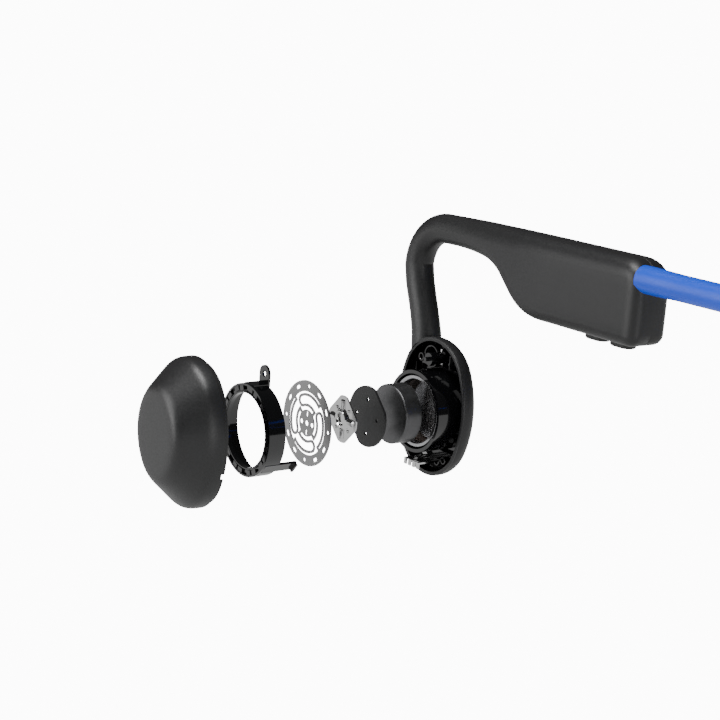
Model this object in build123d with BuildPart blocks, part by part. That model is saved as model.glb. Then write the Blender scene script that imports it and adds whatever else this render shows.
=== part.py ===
from build123d import *
import math
import os

# Bone conduction headphones, in millimetres.
# Origin: on the wearer's mid-plane, on the line through both transducers.
# The wearer faces -Y, +X is the wearer's left and +Z is up.
# Each pod is drawn in its own frame on the left side, where x grows outward
# from the front rim of the transducer boss, and the right side is its mirror.

os.makedirs("parts", exist_ok=True)

# --- overall places -------------------------------------------------------
FIT = 0.05              # gap between pieces that are pressed or glued together
RUN = 0.15              # gap around pieces that slide
SKIN_FACE_X = 56.0      # half of the distance between the two skin pads
HOOK_RISE = 34.9        # underside of the hook's arch above the transducer axis

# --- pod housing (the dish) ----------------------------------------------
POD_HALF_WIDTH = 11.2   # along Y
POD_HALF_HEIGHT = 14.8  # along Z
POD_END_RADIUS = 10.2
POD_LIFT = 0.6   # centre of the oval above the transducer axis
DISH_WALL = 0.8
DISH_FLOOR = 1.2
DISH_DEPTH = 4.4
RIM_X = -4.4            # rim of the dish, behind the boss's front rim
DISH_EDGE = 3.2   # rounding of the dish's back edge
DISH_INNER_EDGE = 1.9   # rounding inside, round the floor
SHELF_Z = 8.9           # cross walls above and below the boss
SHELF_LENGTH = 16.0
SHELF_THICKNESS = 0.6
SHELF_DEPTH = 1.2
TOP_POST_RADIUS = 1.3
SIDE_POST_RADIUS = 0.9
POST_PIN_PROUD = 0.4
PAD_INSET = 3.4
PAD_THICKNESS = 0.9
PAD_EDGE = 0.7   # --- boss and transducer ---------------------------------------------------
BOSS_RADIUS = 8.7
BOSS_BORE = 7.95
YOKE_RADIUS = 7.6
YOKE_BORE = 6.8
YOKE_RECESS = 0.35      # front of the yoke behind the boss's rim
YOKE_DEPTH = 6.8
COIL_THICKNESS = 0.3
COIL_LENGTH = 3.0
COIL_RECESS = 1.6
MAGNET_RADIUS = 6.25
MAGNET_LENGTH = 4.1
PLATE_RADIUS = 6.35
PLATE_THICKNESS = 0.5
PLATE_CUT = 5.75   # diagonal flats, measured from the axis
CLIP_RADIUS = 4.9
CLIP_CUT = 4.2
CLIP_THICKNESS = 0.35
CLIP_HEIGHT = 0.95
PIN_HOLE_RADIUS = 0.42
PIN_HOLE_PITCH = 3.6

# --- leaf spring -----------------------------------------------------------
SPRING_RADIUS = 8.65
SPRING_THICKNESS = 0.2
SPRING_BAND = 6.4   # inner radius of the spring's solid outer ring
SPRING_HUB = 2.75
ARM_WIDTH = 0.6
ARM_OUTER = 5.76        # centre line of each arm's outer run
ARM_INNER = 3.68        # centre line of its run back
ARM_LAP = 0.3
ARM_START = 48          # degrees, where an arm leaves the outer ring and meets the hub
ARM_TURN = 116          # degrees, where it turns back
RIM_HOLE_RADIUS = 7.55
RIM_HOLE_LENGTH = 1.4
RIM_HOLE_WIDTH = 0.7
RIM_ROUND_HOLE = 0.38
HUB_HOLE_PITCH = 1.87

# --- spring retaining ring -------------------------------------------------
RING_RADIUS = 9.2
RING_WALL = 0.4
RING_DEPTH = 3.6
FLANGE_BORE = 7.35
FLANGE_THICKNESS = 0.5
FLANGE_SETBACK = 0.5   # flange behind the ring's front edge
BLOCKS = 10             # small stops inside the ring's front
BLOCK_DEPTH = 0.9
BLOCK_LENGTH = 1.5
TOP_LEG_LENGTH = 3.7
TOP_LEG_WIDTH = 3.4
LEG_THICKNESS = 0.5
TAB_HEIGHT = 3.5
TAB_HOLE_RADIUS = 0.62
POST_PIN_RADIUS = 0.45
SIDE_LEG_ANGLE = -42.0  # about the axis, from +Y
SIDE_LEG_LENGTH = 7.0
SIDE_LEG_WIDTH = 2.4
SIDE_LEG_FOOT = 1.1

# --- wiring contacts in the lower bay ----------------------------------------
CONTACTS = 4
CONTACT_START_Y = -1.4
CONTACT_PITCH = 1.4
CONTACT_Z = -10.6
CONTACT_TOP_X = 0.0
CONTACT_HOOK = 1.2
CONTACT_WIDTH = 0.8
CONTACT_THICKNESS = 0.35

# --- outer cover -------------------------------------------------------------
COVER_DEPTH = 8.8
COVER_WALL = 0.75
COVER_SHOULDER = 3.6    # height of the shoulder above the seam
COVER_SHOULDER_INSET = 0.5
COVER_BROW = 6.9        # height where the side turns towards the face
COVER_BROW_HALF_WIDTH = 9.8
COVER_BROW_HALF_HEIGHT = 11.5
COVER_BROW_RADIUS = 8.3
COVER_FACE_HALF_WIDTH = 7.9
COVER_FACE_HALF_HEIGHT = 9.4
COVER_FACE_RADIUS = 6.6
LIP_LENGTH = 1.2
LIP_WALL = 0.6
WINDOW_WIDTH = 1.2      # small snap window in the lip
WINDOW_Z = -5.6
WINDOW_REACH = 2.0
WINDOW_LENGTH = 0.3

# --- exploded places on the left side: front of each piece -------------------
COVER_SEAM_OUT = 51.7
RING_FRONT_OUT = 40.9
SPRING_FRONT_OUT = 26.6
CLIP_FRONT_OUT = 18.6
PLATE_FRONT_OUT = 12.0
MAGNET_FRONT_OUT = 6.4

# --- assembled places: front of each piece ------------------------------------
SPRING_FRONT_IN = SPRING_THICKNESS + FIT
RING_FRONT_IN = SPRING_FRONT_IN + FIT + FLANGE_THICKNESS + FLANGE_SETBACK
CLIP_FRONT_IN = -0.3
PLATE_FRONT_IN = CLIP_FRONT_IN - CLIP_HEIGHT - FIT
MAGNET_FRONT_IN = PLATE_FRONT_IN - PLATE_THICKNESS - FIT

# --- ear hook -------------------------------------------------------------
HOOK_X = -7.35          # plane of the hook
HOOK_DIAMETER = 6.2
STEM_FOOT = (-6.2, 11.5)
STEM_WAIST = (-7.6, 19.0)
STEM_KNEE = (-11.3, 28.0)
ARCH_CORNER = (-11.0, HOOK_RISE + HOOK_DIAMETER / 2)
ARCH_END_Y = 2.0
STEM_RADIUS = 30.0
KNEE_RADIUS = 8.8   # --- rear housings -----------------------------------------------------------
CASE_MID_X = -6.9       # middle of the housing and the seam between its halves
CASE_THICKNESS = 9.2
CASE_TOP = 41.4
CASE_BOTTOM = 25.6
CASE_START_Y = 30.0
CASE_END_Y = 57.5
CASE_CORNER = 2.6
CASE_REAR_RADIUS = 2.8
CASE_WALL = 1.3

# --- volume buttons on the left housing -------------------------------------
BUTTON_Y = (44.6, 51.1)
BUTTON_LENGTH = 5.3
BUTTON_WIDTH = 3.6
BUTTON_PROUD = 1.1
BUTTON_FLANGE = 0.5
BUTTON_TRAVEL = 0.4
SWITCH_SIZE = 2.6
SWITCH_HEIGHT = 1.2

# --- boards and battery -------------------------------------------------------
BOARD_LENGTH = 26.0
BOARD_WIDTH = 6.8
BOARD_THICKNESS = 0.8
BATTERY_LENGTH = 21.0
BATTERY_THICKNESS = 6.0
BATTERY_GAP = 0.6   # --- charging port on the right housing ---------------------------------------
PORT_Y = 48.0
PORT_LENGTH = 9.0
PORT_WIDTH = 3.2
RECEPTACLE_HEIGHT = 6.0
RECEPTACLE_WALL = 0.4
FLAP_LENGTH = 12.4
FLAP_WIDTH = 5.2
FLAP_THICKNESS = 1.0
FLAP_EDGE = 0.4
FLAP_HINGE_INSET = 0.7  # hinge line behind the flap's front tip
LIGHT_Y = 37.5
LIGHT_RADIUS = 0.6
LIGHT_PROUD = 1.2       # length of the light guide inside the cavity

# --- multifunction button on the right cover -----------------------------------
MULTI_HALF_WIDTH = 4.2
MULTI_HALF_HEIGHT = 6.4
MULTI_RADIUS = 3.8
MULTI_PROUD = 0.7
MULTI_TRAVEL = 0.4
MULTI_FLANGE = 0.45
MULTI_FLANGE_LAP = 0.7
MULTI_EDGE = 0.45
BUTTON_BOARD_THICKNESS = 0.3
BUTTON_SWITCH_RADIUS = 1.8

# --- neckband -------------------------------------------------------------
BAND_DIAMETER = 5.0
BAND_X = -4.9
BAND_Z = 38.0
BAND_STRAIGHT = 16.0
BAND_SEAT = CASE_WALL   # how far the band reaches into the housing's end wall
CORE_DIAMETER = 1.0
CORE_REACH = 4.0        # titanium core beyond the band's own end

# --- worked out from the sizes above -------------------------------------------
DISH_BACK_X = RIM_X - DISH_DEPTH
DISH_FLOOR_X = DISH_BACK_X + DISH_FLOOR
PAD_BACK_X = DISH_BACK_X - PAD_THICKNESS
POD_X = SKIN_FACE_X - PAD_BACK_X      # boss rim of the left pod from the mid-plane
CASE_HEIGHT = CASE_TOP - CASE_BOTTOM
CASE_MID_Z = (CASE_TOP + CASE_BOTTOM) / 2
BAND_HALF_SPAN = POD_X + BAND_X


def side_plane(x):
    """Plane across the pod's axis at x: its first axis is Y, its second is Z."""
    return Plane(origin=(POD_X + x, 0, 0), x_dir=(0, 1, 0), z_dir=(1, 0, 0))


def oval(half_width, half_height, end_radius):
    """Four-arc oval about (0, POD_LIFT)."""
    centre = half_height - end_radius
    side_radius = (half_width**2 + centre**2 - end_radius**2) / (2 * (half_width - end_radius))
    shift = side_radius - half_width
    reach = side_radius / (side_radius - end_radius)
    u = (reach - 1) * shift
    v = reach * centre
    with BuildSketch() as outline:
        with BuildLine():
            ThreePointArc((u, POD_LIFT + v), (0, POD_LIFT + half_height), (-u, POD_LIFT + v))
            ThreePointArc((-u, POD_LIFT + v), (-half_width, POD_LIFT), (-u, POD_LIFT - v))
            ThreePointArc((-u, POD_LIFT - v), (0, POD_LIFT - half_height), (u, POD_LIFT - v))
            ThreePointArc((u, POD_LIFT - v), (half_width, POD_LIFT), (u, POD_LIFT + v))
        make_face()
    return outline.sketch


def pod_oval(inset):
    """The pod's outline, moved inward by inset."""
    return oval(POD_HALF_WIDTH - inset, POD_HALF_HEIGHT - inset, POD_END_RADIUS - inset)


def dish():
    """Inner half of the pod: an oval tray with the transducer's boss and its posts."""
    with BuildPart() as body:
        with BuildSketch(side_plane(DISH_BACK_X)):
            add(pod_oval(0))
        extrude(amount=DISH_DEPTH)
        fillet(body.faces().sort_by(Axis.X)[0].edges(), DISH_EDGE)
        add(dish_hollow(), mode=Mode.SUBTRACT)
        with BuildSketch(side_plane(DISH_BACK_X + DISH_EDGE / 2)):
            Circle(BOSS_RADIUS)
        extrude(amount=-DISH_BACK_X - DISH_EDGE / 2)
        with BuildSketch(side_plane(DISH_FLOOR_X)):
            Circle(BOSS_BORE)
        extrude(amount=-DISH_FLOOR_X, mode=Mode.SUBTRACT)
        add(dish_shelves())
        add(dish_posts())
    return body.part


def dish_hollow():
    """Inside of the dish, its floor's edge rounded like the outside."""
    with BuildPart() as body:
        with BuildSketch(side_plane(DISH_FLOOR_X)):
            add(pod_oval(DISH_WALL))
        extrude(amount=DISH_DEPTH)
        fillet(body.faces().sort_by(Axis.X)[0].edges(), DISH_INNER_EDGE)
    return body.part


def dish_shelves():
    """Two cross walls that part the boss from the wiring bays above and below it."""
    with BuildPart() as body:
        with BuildSketch(side_plane(DISH_FLOOR_X - FIT)):
            with Locations((0, SHELF_Z), (0, -SHELF_Z)):
                Rectangle(SHELF_LENGTH, SHELF_THICKNESS)
            Circle(BOSS_BORE + FIT, mode=Mode.SUBTRACT)
        extrude(amount=SHELF_DEPTH)
    return body.part


def dish_posts():
    """Two posts that carry the retaining ring's legs."""
    base = DISH_FLOOR_X - FIT
    tab_x = RING_FRONT_IN - TOP_LEG_LENGTH
    foot_x = RING_FRONT_IN - SIDE_LEG_LENGTH
    with BuildPart() as body:
        with BuildSketch(side_plane(base)):
            with Locations((0, tab_z())):
                Circle(TOP_POST_RADIUS)
        extrude(amount=tab_x - LEG_THICKNESS - FIT - base)
        with BuildSketch(side_plane(base)):
            with Locations((0, tab_z())):
                Circle(POST_PIN_RADIUS)
        extrude(amount=tab_x + POST_PIN_PROUD - base)
        with BuildSketch(side_plane(base)):
            with Locations(side_leg_centre(RING_RADIUS + SIDE_LEG_FOOT / 2)):
                Circle(SIDE_POST_RADIUS)
        extrude(amount=foot_x - LEG_THICKNESS - FIT - base)
    return body.part


def tab_z():
    """Height of the hole in the retaining ring's top tab."""
    return RING_RADIUS + TAB_HEIGHT - TOP_LEG_WIDTH / 2


def side_leg_centre(radius):
    return on_circle(radius, SIDE_LEG_ANGLE)


def skin_pad():
    """Soft pad that touches the cheekbone, on the dish's back face."""
    with BuildPart() as body:
        with BuildSketch(side_plane(PAD_BACK_X)):
            add(pod_oval(PAD_INSET))
        extrude(amount=PAD_THICKNESS)
        fillet(body.faces().sort_by(Axis.X)[0].edges(), PAD_EDGE)
    return body.part


def yoke():
    """Steel flux ring and its back wall, pressed into the boss."""
    front = -YOKE_RECESS
    with BuildPart() as body:
        with BuildSketch(side_plane(front - YOKE_DEPTH)):
            Circle(YOKE_RADIUS)
        extrude(amount=YOKE_DEPTH)
        with BuildSketch(side_plane(front)):
            Circle(YOKE_BORE)
        extrude(amount=-(YOKE_DEPTH - 0.7), mode=Mode.SUBTRACT)
        with BuildSketch(side_plane(DISH_FLOOR_X)):
            Circle(BOSS_BORE - FIT)
        extrude(amount=front - YOKE_DEPTH - DISH_FLOOR_X)
        chamfer(body.faces().sort_by(Axis.X)[-1].edges(), 0.12)
    return body.part


def voice_coil():
    """Copper winding on the wall of the yoke's bore."""
    front = -YOKE_RECESS - COIL_RECESS
    with BuildPart() as body:
        with BuildSketch(side_plane(front - COIL_LENGTH)):
            Circle(YOKE_BORE)
            Circle(YOKE_BORE - COIL_THICKNESS, mode=Mode.SUBTRACT)
        extrude(amount=COIL_LENGTH)
    return body.part


def magnet(front):
    with BuildPart() as body:
        with BuildSketch(side_plane(front - MAGNET_LENGTH)):
            Circle(MAGNET_RADIUS)
        extrude(amount=MAGNET_LENGTH)
        fillet(body.edges().filter_by(GeomType.CIRCLE), 0.25)
    return body.part


def lozenge(radius, cut, angles):
    """Round outline with diagonal flats across the angles, drawn into the sketch that is open."""
    Circle(radius)
    for angle in angles:
        Rectangle(2 * cut, 4 * radius, rotation=angle, mode=Mode.INTERSECT)


def cross_holes(radius, pitch):
    with PolarLocations(pitch, 4):
        Circle(radius, mode=Mode.SUBTRACT)


def pole_plate(front):
    """Dark pole plate with four pin holes."""
    with BuildPart() as body:
        with BuildSketch(side_plane(front - PLATE_THICKNESS)):
            lozenge(PLATE_RADIUS, PLATE_CUT, (45,))
            cross_holes(PIN_HOLE_RADIUS, PIN_HOLE_PITCH)
        extrude(amount=PLATE_THICKNESS)
    return body.part


def hub_clip(front):
    """Pressed steel clip that ties the magnet's plate to the middle of the leaf spring."""
    base = front - CLIP_HEIGHT
    with BuildPart() as body:
        with BuildSketch(side_plane(base)):
            lozenge(CLIP_RADIUS, CLIP_CUT, (45, 135))
            cross_holes(PIN_HOLE_RADIUS, PIN_HOLE_PITCH)
        extrude(amount=CLIP_THICKNESS)
        with BuildSketch(side_plane(base)):
            Circle(2.1)
            Circle(1.2, mode=Mode.SUBTRACT)
        extrude(amount=CLIP_HEIGHT)
        with BuildSketch(side_plane(base + CLIP_THICKNESS)):
            Rectangle(5.6, 0.5)
            Rectangle(0.5, 5.6)
            Circle(1.2, mode=Mode.SUBTRACT)
        extrude(amount=(CLIP_HEIGHT - CLIP_THICKNESS) * 0.6)
    return body.part


def leaf_spring(front):
    """Thin steel disc: an outer ring, four folded arms and a hub."""
    with BuildPart() as body:
        with BuildSketch(side_plane(front - SPRING_THICKNESS)):
            Circle(SPRING_RADIUS)
            Circle(SPRING_BAND, mode=Mode.SUBTRACT)
            add(rim_holes(), mode=Mode.SUBTRACT)
            Circle(SPRING_HUB)
            add(spring_arms())
            add(hub_holes(), mode=Mode.SUBTRACT)
        extrude(amount=SPRING_THICKNESS)
    return body.part


def rim_holes():
    """Eight slots and four round holes in the spring's outer ring."""
    with BuildSketch() as holes:
        for start in (30, 60):
            with PolarLocations(RIM_HOLE_RADIUS, 4, start_angle=start):
                SlotOverall(RIM_HOLE_LENGTH, RIM_HOLE_WIDTH, rotation=90)
        with PolarLocations(RIM_HOLE_RADIUS, 4):
            Circle(RIM_ROUND_HOLE)
    return holes.sketch


def hub_holes():
    """Holes in the hub: one in the middle, two round and two upright slots."""
    with BuildSketch() as holes:
        Circle(0.55)
        with Locations((HUB_HOLE_PITCH, 0), (-HUB_HOLE_PITCH, 0)):
            Circle(0.5)
        with Locations((0, HUB_HOLE_PITCH), (0, -HUB_HOLE_PITCH)):
            SlotOverall(1.15, 0.5, rotation=90)
    return holes.sketch


def on_circle(radius, degrees):
    angle = math.radians(degrees)
    return radius * math.cos(angle), radius * math.sin(angle)


def spring_arms():
    """Each arm leaves the outer ring, runs round, turns back and comes in to the hub."""
    mid = (ARM_OUTER + ARM_INNER) / 2
    half = (ARM_OUTER - ARM_INNER) / 2
    with BuildSketch() as arms:
        for turn in (0, 90, 180, 270):
            start = turn + ARM_START
            end = turn + ARM_TURN
            along = on_circle(half, end + 90)
            middle = on_circle(mid, end)
            tip = (middle[0] + along[0], middle[1] + along[1])
            with BuildLine():
                foot = Line(on_circle(SPRING_BAND + ARM_LAP, start), on_circle(ARM_OUTER, start))
                out = CenterArc((0, 0), ARM_OUTER, start, ARM_TURN - ARM_START)
                bend = ThreePointArc(on_circle(ARM_OUTER, end), tip, on_circle(ARM_INNER, end))
                back = CenterArc((0, 0), ARM_INNER, end, ARM_START - ARM_TURN)
                neck = Line(on_circle(ARM_INNER, start), on_circle(SPRING_HUB - ARM_LAP, start))
            trace(lines=[foot, out, bend, back, neck], line_width=ARM_WIDTH)
    return arms.sketch


def retaining_ring(front):
    """Ring that clamps the leaf spring on the boss, with two legs to the dish's posts."""
    flange_front = front - FLANGE_SETBACK
    with BuildPart() as body:
        with BuildSketch(side_plane(front - RING_DEPTH)):
            Circle(RING_RADIUS)
            Circle(RING_RADIUS - RING_WALL, mode=Mode.SUBTRACT)
        extrude(amount=RING_DEPTH)
        with BuildSketch(side_plane(flange_front - FLANGE_THICKNESS)):
            Circle(RING_RADIUS - RING_WALL / 2)
            Circle(FLANGE_BORE, mode=Mode.SUBTRACT)
        extrude(amount=FLANGE_THICKNESS)
        with BuildSketch(side_plane(flange_front)):
            with PolarLocations(RING_RADIUS - RING_WALL - BLOCK_DEPTH / 2, BLOCKS, start_angle=10):
                Rectangle(BLOCK_DEPTH, BLOCK_LENGTH)
        extrude(amount=FLANGE_SETBACK * 0.8)
        add(top_leg(front))
        add(side_leg(front))
    return body.part


def top_leg(front):
    """Strip back from the top of the ring, with an upright rounded tab at its end."""
    tab_back = front - TOP_LEG_LENGTH - LEG_THICKNESS
    leg_length = TOP_LEG_LENGTH + LEG_THICKNESS - FLANGE_SETBACK
    with BuildPart() as body:
        with BuildSketch(Plane.XY.offset(RING_RADIUS - LEG_THICKNESS)):
            with Locations((POD_X + tab_back + leg_length / 2, 0)):
                Rectangle(leg_length, TOP_LEG_WIDTH)
        extrude(amount=LEG_THICKNESS)
        with BuildSketch(side_plane(tab_back)):
            with Locations((0, (RING_RADIUS - LEG_THICKNESS + tab_z()) / 2)):
                Rectangle(TOP_LEG_WIDTH, tab_z() - RING_RADIUS + LEG_THICKNESS)
            with Locations((0, tab_z())):
                Circle(TOP_LEG_WIDTH / 2)
                Circle(TAB_HOLE_RADIUS, mode=Mode.SUBTRACT)
        extrude(amount=LEG_THICKNESS)
    return body.part


def side_leg(front):
    """Strip back from the ring's lower rear side, its end bent outward."""
    leg_back = front - SIDE_LEG_LENGTH - LEG_THICKNESS
    tangent = SIDE_LEG_ANGLE + 90
    with BuildPart() as body:
        with BuildSketch(side_plane(leg_back)):
            with Locations(side_leg_centre(RING_RADIUS - LEG_THICKNESS / 2)):
                Rectangle(SIDE_LEG_WIDTH, LEG_THICKNESS, rotation=tangent)
        extrude(amount=SIDE_LEG_LENGTH + LEG_THICKNESS - FLANGE_SETBACK)
        with BuildSketch(side_plane(leg_back)):
            with Locations(side_leg_centre(RING_RADIUS - LEG_THICKNESS + SIDE_LEG_FOOT / 2)):
                Rectangle(SIDE_LEG_WIDTH, SIDE_LEG_FOOT, rotation=tangent)
        extrude(amount=LEG_THICKNESS)
    return body.part


def brow_oval(inset):
    """Outline of the cover where its side turns towards the face."""
    return oval(
        COVER_BROW_HALF_WIDTH - inset, COVER_BROW_HALF_HEIGHT - inset, COVER_BROW_RADIUS - inset
    )


def face_oval(inset):
    """Outline of the cover's flat face, moved inward by inset."""
    return oval(
        COVER_FACE_HALF_WIDTH - inset, COVER_FACE_HALF_HEIGHT - inset, COVER_FACE_RADIUS - inset
    )


def cover_loft(seam, rim_inset, wall):
    """Tapering solid from the pod's outline at the seam to the flat face."""
    with BuildPart() as body:
        with BuildSketch(side_plane(seam)):
            add(pod_oval(rim_inset))
        with BuildSketch(side_plane(seam + COVER_SHOULDER)):
            add(pod_oval(COVER_SHOULDER_INSET + wall))
        with BuildSketch(side_plane(seam + COVER_BROW)):
            add(brow_oval(wall))
        with BuildSketch(side_plane(seam + COVER_DEPTH - wall)):
            add(face_oval(wall))
        loft()
    return body.part


def cover(seam):
    """Outer half of the pod: a deep cup with a lip that enters the dish."""
    lip_inset = DISH_WALL + FIT
    with BuildPart() as body:
        add(cover_loft(seam, 0, 0))
        with BuildSketch(side_plane(seam - LIP_LENGTH)):
            add(pod_oval(lip_inset))
        extrude(amount=LIP_LENGTH + FIT)
        add(cover_loft(seam, lip_inset + LIP_WALL, COVER_WALL), mode=Mode.SUBTRACT)
        with BuildSketch(side_plane(seam - LIP_LENGTH)):
            add(pod_oval(lip_inset + LIP_WALL))
        extrude(amount=LIP_LENGTH + FIT, mode=Mode.SUBTRACT)
        with BuildSketch(side_plane(seam - LIP_LENGTH)):
            with Locations((POD_HALF_WIDTH, WINDOW_Z)):
                Rectangle(2 * WINDOW_REACH, WINDOW_WIDTH)
        extrude(amount=LIP_LENGTH - WINDOW_LENGTH, mode=Mode.SUBTRACT)
    return body.part


def contact_pins():
    """Four L-shaped contacts that stand out of the lower wiring bay."""
    pins = []
    for index in range(CONTACTS):
        y = CONTACT_START_Y + index * CONTACT_PITCH
        with BuildPart() as pin:
            with BuildSketch(side_plane(DISH_FLOOR_X)):
                with Locations((y, CONTACT_Z)):
                    Rectangle(CONTACT_WIDTH, CONTACT_THICKNESS)
            extrude(amount=CONTACT_TOP_X - DISH_FLOOR_X)
            with BuildSketch(side_plane(CONTACT_TOP_X)):
                with Locations((y, CONTACT_Z - CONTACT_HOOK / 2)):
                    Rectangle(CONTACT_WIDTH, CONTACT_HOOK)
            extrude(amount=-CONTACT_THICKNESS)
        pins.append(pin.part)
    return Compound(children=pins)


def hook():
    """Round tube from the top of the dish, up and over the ear to the housing."""
    points = [STEM_FOOT, STEM_WAIST, STEM_KNEE, ARCH_CORNER, (ARCH_END_Y - FIT, ARCH_CORNER[1])]
    path_plane = side_plane(HOOK_X)
    foot = path_plane.from_local_coords((*STEM_FOOT, 0))
    rise = path_plane.from_local_coords((*STEM_WAIST, 0)) - foot
    with BuildPart() as body:
        with BuildLine(path_plane):
            FilletPolyline(points, radius=[STEM_RADIUS, STEM_RADIUS / 3, KNEE_RADIUS])
        with BuildSketch(Plane(origin=foot, z_dir=rise)):
            Circle(HOOK_DIAMETER / 2)
        sweep()
        with BuildSketch(side_plane(DISH_BACK_X - 1)):
            add(pod_oval(-0.02))
        extrude(amount=DISH_DEPTH + 2, mode=Mode.SUBTRACT)
    return body.part


# Transition from the hook to the housing: y, middle x, bottom, top, thickness, corner radius
FLARE = [
    (ARCH_END_Y, HOOK_X, HOOK_RISE, HOOK_RISE + HOOK_DIAMETER, HOOK_DIAMETER, 3.0),
    (7.0, -7.3, HOOK_RISE - 0.1, 41.2, 6.5, 3.0),
    (12.0, -7.2, 34.4, 41.35, 7.0, 2.9),
    (17.0, -7.1, 32.9, 41.4, 7.8, 2.7),
    (21.5, -7.0, 29.4, CASE_TOP, 8.6, 2.6),
    (25.5, CASE_MID_X, 26.6, CASE_TOP, 9.0, CASE_CORNER),
    (CASE_START_Y, CASE_MID_X, CASE_BOTTOM, CASE_TOP, CASE_THICKNESS, CASE_CORNER),
]


def cross_plane(y):
    """Plane across the housing at y: its first axis is X, its second is Z."""
    return Plane(origin=(0, y, 0), x_dir=(-1, 0, 0), z_dir=(0, 1, 0))


def case_solid():
    """Outside of the rear housing with its flare from the hook."""
    with BuildPart() as body:
        for y, mid_x, bottom, top, thickness, radius in FLARE:
            with BuildSketch(cross_plane(y)):
                with Locations((-POD_X - mid_x, (bottom + top) / 2)):
                    RectangleRounded(thickness, top - bottom, min(radius, thickness / 2 - 0.05))
        loft()
        with BuildSketch(cross_plane(CASE_START_Y)):
            with Locations((-POD_X - CASE_MID_X, CASE_MID_Z)):
                RectangleRounded(CASE_THICKNESS, CASE_HEIGHT, CASE_CORNER)
        extrude(amount=CASE_END_Y - CASE_START_Y)
        fillet(body.faces().sort_by(Axis.Y)[-1].edges(), CASE_REAR_RADIUS - 0.4)
    return body.part


def case_cavity():
    with BuildPart() as body:
        with BuildSketch(cross_plane(CASE_START_Y)):
            with Locations((-POD_X - CASE_MID_X, CASE_MID_Z)):
                RectangleRounded(
                    CASE_THICKNESS - 2 * CASE_WALL, CASE_HEIGHT - 2 * CASE_WALL, CASE_CORNER - CASE_WALL
                )
        extrude(amount=CASE_END_Y - CASE_WALL - CASE_START_Y)
    return body.part


def band_hole():
    """Bore for the neckband through the housing's end wall."""
    with BuildPart() as body:
        with BuildSketch(cross_plane(CASE_END_Y - CASE_WALL)):
            with Locations((-BAND_HALF_SPAN, BAND_Z)):
                Circle(BAND_DIAMETER / 2)
        extrude(amount=CASE_WALL + 1)
    return body.part


def case_half(outer, cutters):
    """Half of the housing on one side of its mid-thickness plane, less the cutters."""
    mid = Plane(origin=(POD_X + CASE_MID_X, 0, 0), z_dir=(1, 0, 0))
    with BuildPart() as body:
        add(case_solid())
        add(case_cavity(), mode=Mode.SUBTRACT)
        add(band_hole(), mode=Mode.SUBTRACT)
        for cutter in cutters:
            add(cutter, mode=Mode.SUBTRACT)
        split(bisect_by=mid, keep=Keep.TOP if outer else Keep.BOTTOM)
    return body.part


def bottom_plane(z):
    return Plane.XY.offset(z)


def slot_cutter(y, length, width, depth):
    """Upright rounded cutter through the housing's bottom wall, centred at y."""
    with BuildPart() as body:
        with BuildSketch(bottom_plane(CASE_BOTTOM - 1)):
            with Locations((POD_X + CASE_MID_X, y)):
                SlotOverall(length, width, rotation=90)
        extrude(amount=depth + 1)
    return body.part


def volume_button(y):
    """Low rounded button with a flange that keeps it in the housing."""
    with BuildPart() as body:
        with BuildSketch(bottom_plane(CASE_BOTTOM - BUTTON_PROUD)):
            with Locations((POD_X + CASE_MID_X, y)):
                SlotOverall(BUTTON_LENGTH, BUTTON_WIDTH, rotation=90)
        extrude(amount=BUTTON_PROUD + CASE_WALL + RUN)
        fillet(body.faces().sort_by(Axis.Z)[0].edges(), 0.5)
        with BuildSketch(bottom_plane(CASE_BOTTOM + CASE_WALL + RUN)):
            with Locations((POD_X + CASE_MID_X, y)):
                SlotOverall(BUTTON_LENGTH + 0.9, BUTTON_WIDTH + 1.0, rotation=90)
        extrude(amount=BUTTON_FLANGE)
    return body.part


def block(x, y, z, size_x, size_y, size_z, radius):
    """Upright rounded block, centred at x and y, that stands on z."""
    with BuildPart() as body:
        with BuildSketch(bottom_plane(z)):
            with Locations((POD_X + x, y)):
                RectangleRounded(size_x, size_y, radius)
        extrude(amount=size_z)
    return body.part


def switch_z():
    return CASE_BOTTOM + CASE_WALL + RUN + BUTTON_FLANGE + BUTTON_TRAVEL + RUN


def volume_switches():
    """Two tact switches that hang from the board above the buttons."""
    return Compound(children=[
        block(CASE_MID_X, y, switch_z(), SWITCH_SIZE, SWITCH_SIZE, SWITCH_HEIGHT, 0.3) for y in BUTTON_Y
    ])


def left_board():
    centre_y = CASE_END_Y - CASE_WALL - BOARD_LENGTH / 2
    return block(
        CASE_MID_X, centre_y, switch_z() + SWITCH_HEIGHT, CASE_THICKNESS - 2 * CASE_WALL,
        BOARD_LENGTH, BOARD_THICKNESS, 0.6,
    )


def port_receptacle():
    """Open metal shell of the charging socket."""
    with BuildPart() as body:
        with BuildSketch(bottom_plane(CASE_BOTTOM + 0.2)):
            with Locations((POD_X + CASE_MID_X, PORT_Y)):
                SlotOverall(PORT_LENGTH, PORT_WIDTH, rotation=90)
                SlotOverall(
                    PORT_LENGTH - 2 * RECEPTACLE_WALL, PORT_WIDTH - 2 * RECEPTACLE_WALL,
                    rotation=90, mode=Mode.SUBTRACT,
                )
        extrude(amount=RECEPTACLE_HEIGHT)
        with BuildSketch(bottom_plane(CASE_BOTTOM + 0.2 + RECEPTACLE_HEIGHT)):
            with Locations((POD_X + CASE_MID_X, PORT_Y)):
                SlotOverall(PORT_LENGTH, PORT_WIDTH, rotation=90)
        extrude(amount=-0.8)
        with BuildSketch(bottom_plane(CASE_BOTTOM + 1.4)):
            with Locations((POD_X + CASE_MID_X, PORT_Y)):
                Rectangle(0.7, PORT_LENGTH - 2.6)
        extrude(amount=RECEPTACLE_HEIGHT - 1.4)
    return body.part


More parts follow.
